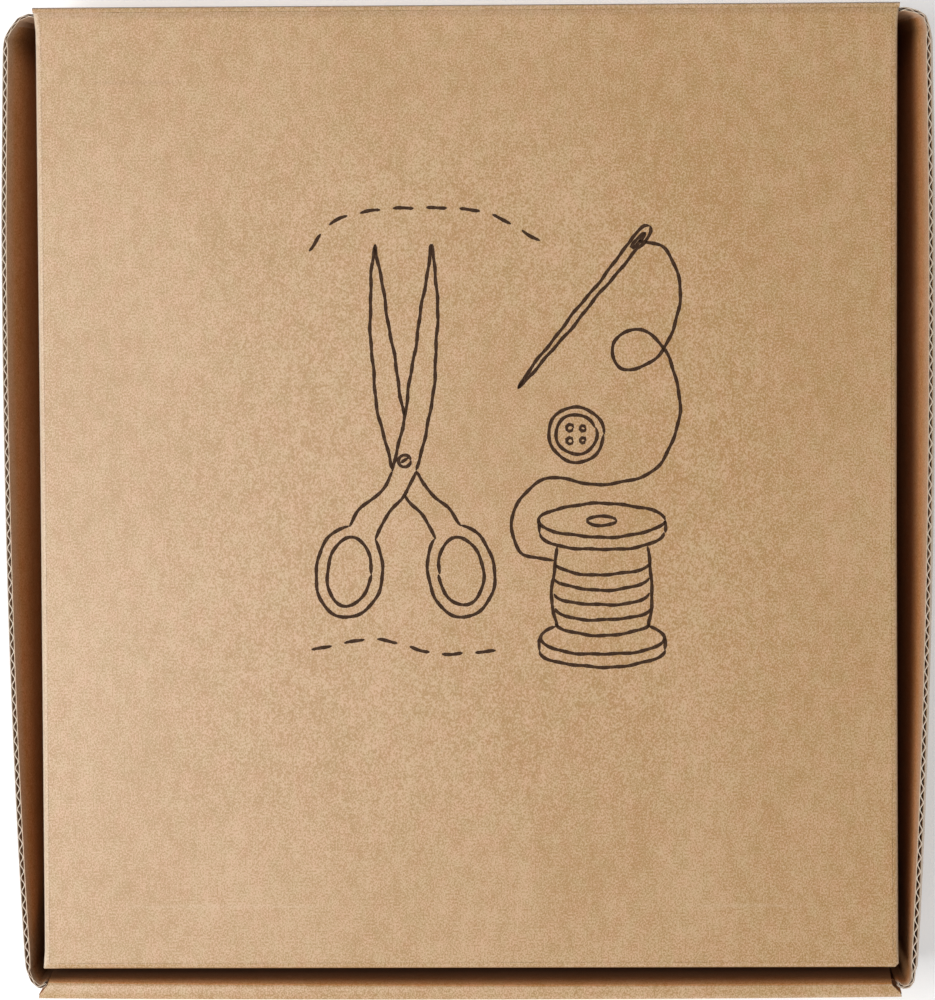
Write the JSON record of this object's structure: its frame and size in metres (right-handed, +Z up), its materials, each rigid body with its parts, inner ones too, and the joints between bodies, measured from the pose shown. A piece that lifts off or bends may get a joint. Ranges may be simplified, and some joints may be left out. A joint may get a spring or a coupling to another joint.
{
  "type": "corrugated mailer box",
  "caption": "Flat rectangular mailing box of corrugated board with a hinged lid that tucks in at the front and sides, behind a folded double front wall.",
  "frame": {"origin": "centre of the box's outline, on the surface it stands on", "axes": "+Z up, +Y towards the lid's hinge at the back, +X to the right seen from the front"},
  "size_m": [0.2228, 0.237, 0.052],
  "materials": {
    "kraft_board": "matt uncoated brown kraft liner",
    "printed_lid": "matt uncoated brown kraft liner with a thin line print"
  },
  "bodies": {
    "tray": {"bottom_panel": "kraft_board", "back_wall": "kraft_board", "left_wall": "kraft_board", "right_wall": "kraft_board", "front_wall_outer": "kraft_board", "front_wall_top": "kraft_board", "front_wall_inner": "kraft_board", "left_rear_corner_flap": "kraft_board", "right_rear_corner_flap": "kraft_board", "left_front_corner_flap": "kraft_board", "right_front_corner_flap": "kraft_board"},
    "lid": {"lid_panel": "printed_lid"},
    "left_flap": {"lid_left_flap": "kraft_board"},
    "right_flap": {"lid_right_flap": "kraft_board"},
    "tuck_flap": {"lid_tuck_flap": "kraft_board"}
  },
  "joints": [
    {"name": "lid_hinge", "type": "hinge", "parent": "tray", "child": "lid", "pos_m": [0, 0.1185, 0.052], "axis": [-1, 0, 0], "range_deg": [0, 190]},
    {"name": "left_flap_fold", "type": "hinge", "parent": "lid", "child": "left_flap", "pos_m": [-0.1011, 0.1185, 0.0503], "axis": [0, -1, 0], "range_deg": [0, 85]},
    {"name": "right_flap_fold", "type": "hinge", "parent": "lid", "child": "right_flap", "pos_m": [0.1011, 0.1185, 0.0503], "axis": [0, 1, 0], "range_deg": [0, 85]},
    {"name": "tuck_flap_fold", "type": "hinge", "parent": "lid", "child": "tuck_flap", "pos_m": [0, -0.1101, 0.0503], "axis": [1, 0, 0], "range_deg": [0, 80]}
  ]
}
